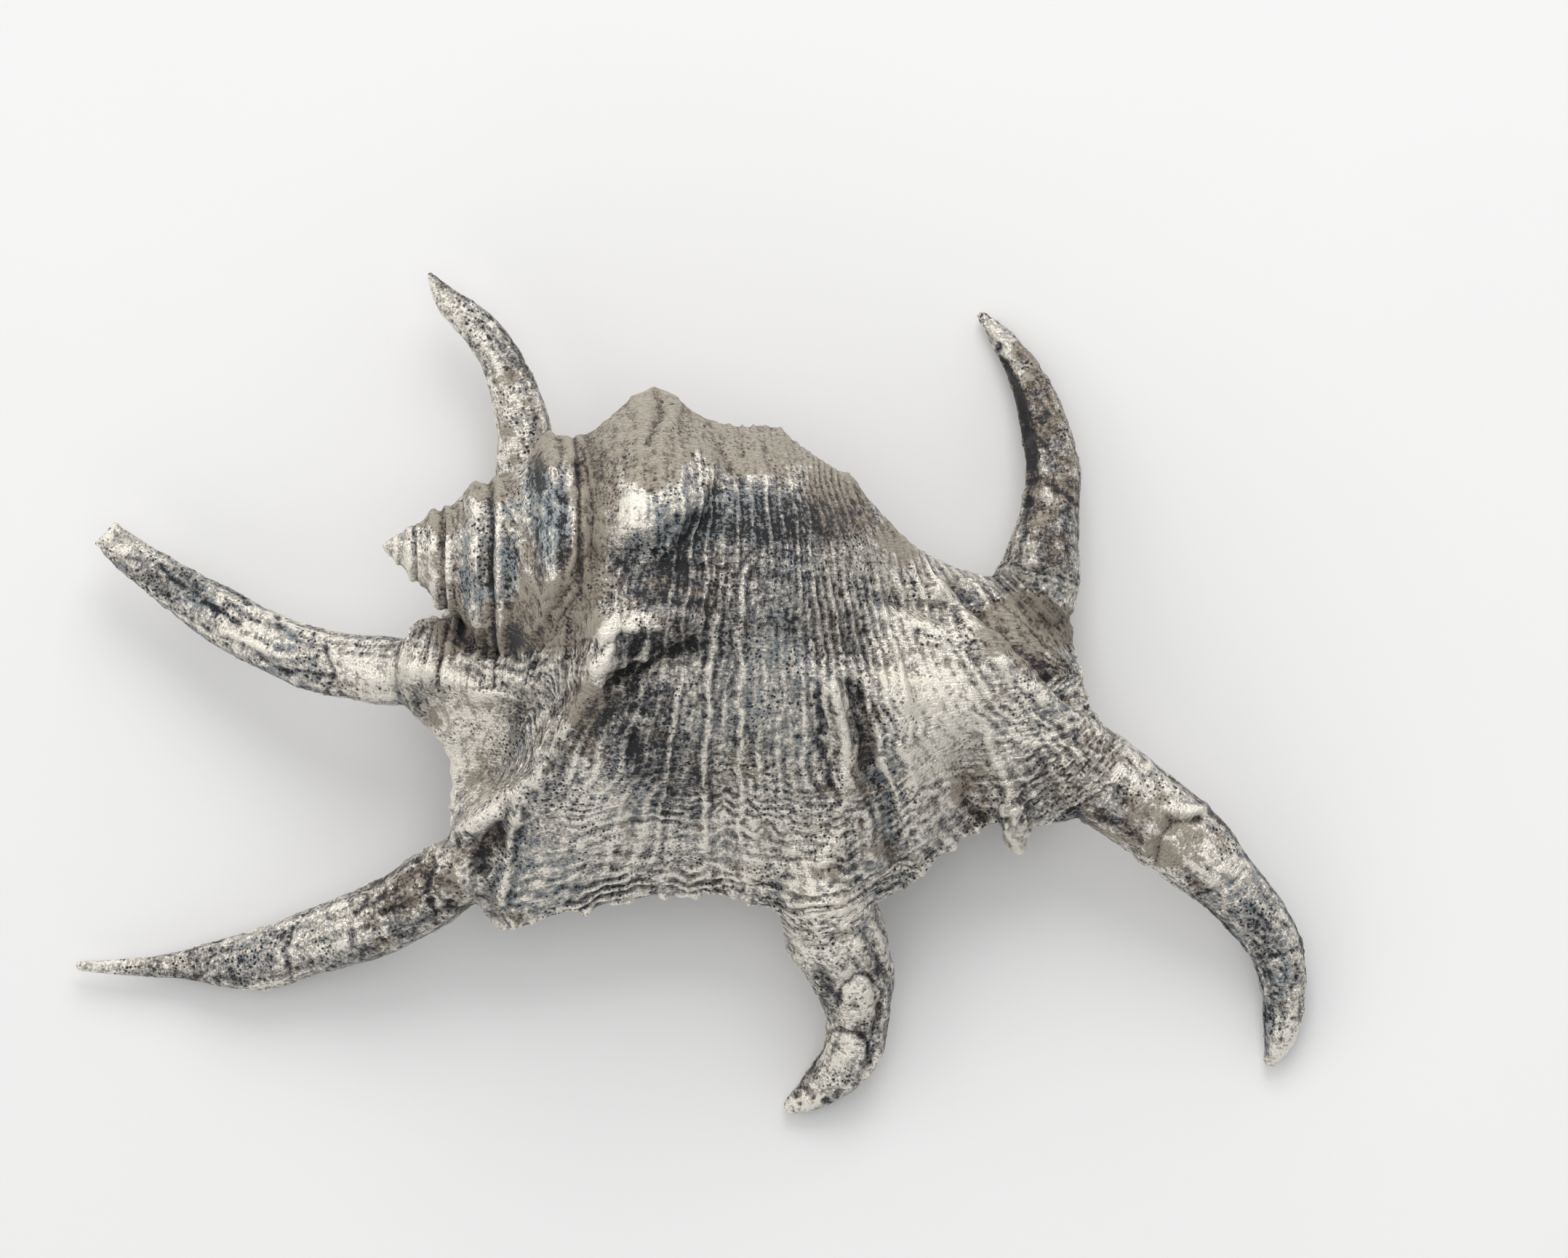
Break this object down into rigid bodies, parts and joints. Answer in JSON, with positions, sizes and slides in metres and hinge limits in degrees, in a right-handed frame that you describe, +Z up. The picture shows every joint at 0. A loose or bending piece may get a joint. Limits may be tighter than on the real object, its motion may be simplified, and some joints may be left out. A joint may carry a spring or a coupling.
{
  "type": "silver-clad spider conch seashell",
  "caption": "Spider conch shell with a coiled spire, ribbed back, flared lip and long curved digits, clad all over in dark-stained silver.",
  "frame": {"origin": "middle of the shell's bounding box seen from above, on the surface that it rests on", "axes": "+X from the spire towards the canal end, +Y from the flared lip towards the rounded side, +Z up through the back of the shell"},
  "size_m": [0.242, 0.1656, 0.0637],
  "materials": {
    "oxidised_silver": "electroformed silver over the shell, bright on raised ridges and dark-stained in the recesses"
  },
  "bodies": {
    "root": {"silver_clad_shell": "oxidised_silver"}
  },
  "joints": []
}
